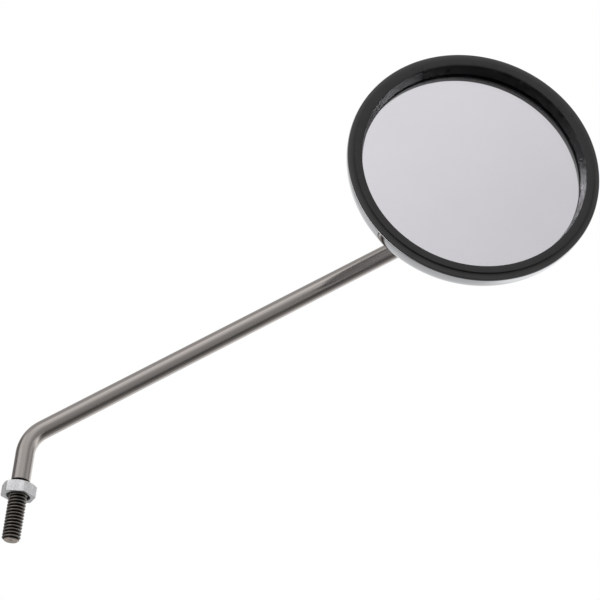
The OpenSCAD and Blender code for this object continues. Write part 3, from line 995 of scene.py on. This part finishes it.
def makeRim():
    sizes = rimSizes
    landHeight = sizes["rimFront"] + sizes["landRise"]
    stepRadius = sizes["rimRadius"] - sizes["outerLandWidth"]
    stepHeight = landHeight + sizes["landStep"]
    lipRadius = stepRadius - sizes["innerLandWidth"]
    sightRadius = lipRadius - sizes["wallLean"]
    slotRadius = glassSizes["radius"] + sizes["slotGap"]
    slotFront = glassSizes["front"] + sizes["glassGap"]
    slotBack = glassSizes["back"] - sizes["glassGap"]
    rearHeight = glassSizes["back"] - sizes["rearFlange"]
    againstBowl = bowlSide(shellSizes["thickness"] + sizes["bowlGap"], sizes["rimFront"])
    outside = [(radius, height) for radius, height in againstBowl if height > rearHeight]
    outline = fillet([
        (sizes["rimRadius"], sizes["rimFront"], 0.1),
        (sizes["rimRadius"], landHeight - sizes["outerFall"], sizes["edgeRound"]),
        ((sizes["rimRadius"] + stepRadius) / 2, landHeight - 0.2 * sizes["outerFall"], 3),
        (stepRadius, landHeight, 0.12),
        (stepRadius, stepHeight, 0.22),
        (lipRadius, stepHeight - sizes["landFall"], sizes["lipRound"]),
        (sightRadius, slotFront, 0.05),
        (slotRadius, slotFront, 0),
        (slotRadius, slotBack, 0),
        (sightRadius, slotBack, 0),
        (sightRadius, rearHeight, 0.3),
        (outside[-1][0], rearHeight, 0.2),
    ], 8)
    rim = lathe("rubberRim", outline + outside[::-1], headPlace, headSteps)
    finish(rim, rubberMaterial, "rubber", "head", "rim_ring")
    # faces inside the lip take the darker wall rubber: painted shade in the recess
    rim.data.materials.append(wallMaterial)
    for face in rim.data.polygons:
        inHead = headPlace.inverted() @ face.center
        if math.hypot(inHead.x, inHead.y) < lipRadius - sizes["wallFrom"]:
            face.material_index = 1


makeRim()
print("stage: rim made")


# Mirror glass

def makeGlass():
    sizes = glassSizes
    silverHeight = sizes["back"] + sizes["silverGap"]
    outline = [
        (0, silverHeight),
        (sizes["radius"], silverHeight),
        (sizes["radius"], sizes["front"]),
        (0, sizes["front"]),
    ]
    glass = lathe("mirrorGlass", outline, headPlace, headSteps)
    finish(glass, glassMaterial, "mirror_glass", "head", "mirror_glass")
    glass.data.materials.append(silverMaterial)
    for face in glass.data.polygons:
        inHead = headPlace.inverted() @ face.center
        if inHead.z < silverHeight + sizes["silverGap"]:
            face.material_index = 1


makeGlass()
print("stage: glass made")


# Studio

studio = {
    "floorHeight": -1.1,
    "floorSize": 12,
    "floorColours": ("#e9e9e7", "#eeeeec"),    # dark and light
    "floorCloud": 400,          # mm, soft patches in the paint
    "cameraPlace": (0.0089, -0.9252, -0.365),
    "azimuth": 6.022,           # the camera looks along +Y, a little to +X
    "elevation": 27.06,         # and up, from below the mirror
    "roll": 6.446,
    "lens": 144,
    "sensor": 36,
    "lightTarget": (0.1, 0, 0.1),
    # name, place, size across in metres, power in watts
    "lights": [("keyLight", (-0.9, -1.2, 1.3), 1.0, 14), ("fillLight", (1.3, -0.9, 0.2), 1.0, 6)],
    "roomLevel": 1.26,          # brightness where no card reaches
    "roomWeight": 0.004,
    # what the shiny parts see: azimuth and elevation of each soft card, how tight it is, and
    # its brightness; each direction takes the mean of the cards round it
    "cards": [
        # over the camera's side, where the glass and the lands look
        (177, 35, 80, 0.85), (163, 24, 80, 0.6), (-155, 27, 40, 0.7), (172, -48, 14, 0.05),
        # past the camera on the left, low, and on to the far right: along the bar
        (160, 4, 60, 0.4), (145, -10, 80, 0.35), (112, -29, 120, 0.1), (97, -31, 120, 0.1),
        (80, -29, 80, 0.25), (60, -23, 60, 0.4), (40, -12, 40, 1.0), (0, -28, 25, 0.55),
        (-3, 6, 40, 0.6), (5, 28, 30, 0.95), (50, 30, 30, 1.15),
        # round the room at the height of the glass: the bar's upper side and the bends
        (76, 27, 80, 0.3), (112, 27, 50, 0.55), (140, 27, 60, 0.35), (-50, 25, 40, 0.25),
        (-84, 27, 120, 0.15), (-110, 27, 60, 0.85),
        # overhead
        (-168, 50, 40, 1.15), (-130, 70, 30, 0.5), (-60, 72, 20, 0.5),
        # low on the left and underneath: the bowl's side and the lip
        (-165, -10, 20, 0.35), (-138, -14, 24, 1.6), (-75, -42, 10, 0.25), (-20, -60, 10, 0.35),
    ],
}


def direction(azimuth, elevation):
    around, above = math.radians(azimuth), math.radians(elevation)
    return Vector((math.sin(around) * math.cos(above), math.cos(around) * math.cos(above), math.sin(above)))


def makeWorld():
    # white for the camera, and a room of soft cards for light and reflections
    world = bpy.data.worlds.new("studioRoom")
    bpy.context.scene.world = world
    world.use_nodes = True
    tree = world.node_tree
    tree.nodes.clear()
    looking = addNode(tree, "ShaderNodeTexCoord").outputs["Generated"]
    total = studio["roomLevel"] * studio["roomWeight"]
    weight = studio["roomWeight"]
    for azimuth, elevation, tightness, brightness in studio["cards"]:
        facing = addNode(tree, "ShaderNodeVectorMath", (
            looking, direction(azimuth, elevation),
        ), operation="DOT_PRODUCT")
        front = addNode(tree, "ShaderNodeMath", (facing.outputs["Value"], 0.0), operation="MAXIMUM")
        card = addNode(tree, "ShaderNodeMath", (front.outputs[0], tightness), operation="POWER")
        sums = addNode(tree, "ShaderNodeMath", (
            card.outputs[0], brightness, total,
        ), operation="MULTIPLY_ADD")
        total = sums.outputs[0]
        weight = addNode(tree, "ShaderNodeMath", (card.outputs[0], weight)).outputs[0]
    level = addNode(tree, "ShaderNodeMath", (total, weight), operation="DIVIDE")
    room = addNode(tree, "ShaderNodeBackground", {"Color": "#ffffff", "Strength": level.outputs[0]})
    white = addNode(tree, "ShaderNodeBackground", {"Color": "#ffffff", "Strength": 1.0})
    path = addNode(tree, "ShaderNodeLightPath")
    both = addNode(tree, "ShaderNodeMixShader", (
        path.outputs["Is Camera Ray"], room.outputs[0], white.outputs[0],
    ))
    addNode(tree, "ShaderNodeOutputWorld", {"Surface": both.outputs[0]})


def makeFloor():
    half, height = studio["floorSize"] / 2, studio["floorHeight"]
    corners = [(-half, -half, height), (half, -half, height), (half, half, height), (-half, half, height)]
    mesh = bpy.data.meshes.new("studioFloor")
    mesh.from_pydata(corners, [], [(0, 1, 2, 3)])
    floor = bpy.data.objects.new("studioFloor", mesh)
    bpy.context.scene.collection.objects.link(floor)
    # pale matt floor paint, with patches too faint to draw the eye
    material, tree, shader = newMaterial("palePaintedFloor")
    cloud = grain(tree, studio["floorCloud"], 2)
    dress(tree, shader, (cloud, *studio["floorColours"]), 0.8)
    mesh.materials.append(material)
    floor.visible_glossy = False
    floor.visible_diffuse = False


def addSoftLight(name, place, size, power):
    data = bpy.data.lights.new(name, "AREA")
    data.shape = "DISK"
    data.size = size
    data.energy = power
    light = bpy.data.objects.new(name, data)
    light.location = place
    towards = Vector(studio["lightTarget"]) - Vector(place)
    light.rotation_euler = towards.to_track_quat("-Z", "Y").to_euler()
    light.visible_camera = False
    light.visible_glossy = False      # the cards alone make the reflections
    bpy.context.scene.collection.objects.link(light)


def makeCamera():
    data = bpy.data.cameras.new("photoCamera")
    data.lens = studio["lens"]
    data.sensor_width = studio["sensor"]
    data.clip_start = 0.01
    data.clip_end = 100
    forward = direction(studio["azimuth"], studio["elevation"])
    right = forward.cross(Vector((0, 0, 1))).normalized()
    up = right.cross(forward)
    roll = math.radians(studio["roll"])
    across = right * math.cos(roll) + up * math.sin(roll)
    upward = up * math.cos(roll) - right * math.sin(roll)
    turned = Matrix((across, upward, -forward)).transposed().to_4x4()
    camera = bpy.data.objects.new("photoCamera", data)
    camera.matrix_world = Matrix.Translation(studio["cameraPlace"]) @ turned
    bpy.context.scene.collection.objects.link(camera)
    bpy.context.scene.camera = camera


makeWorld()
makeFloor()
for light in studio["lights"]:
    addSoftLight(*light)
makeCamera()
bpy.context.scene.view_settings.view_transform = "Standard"
bpy.context.scene.view_settings.look = "None"
print("stage: studio made")
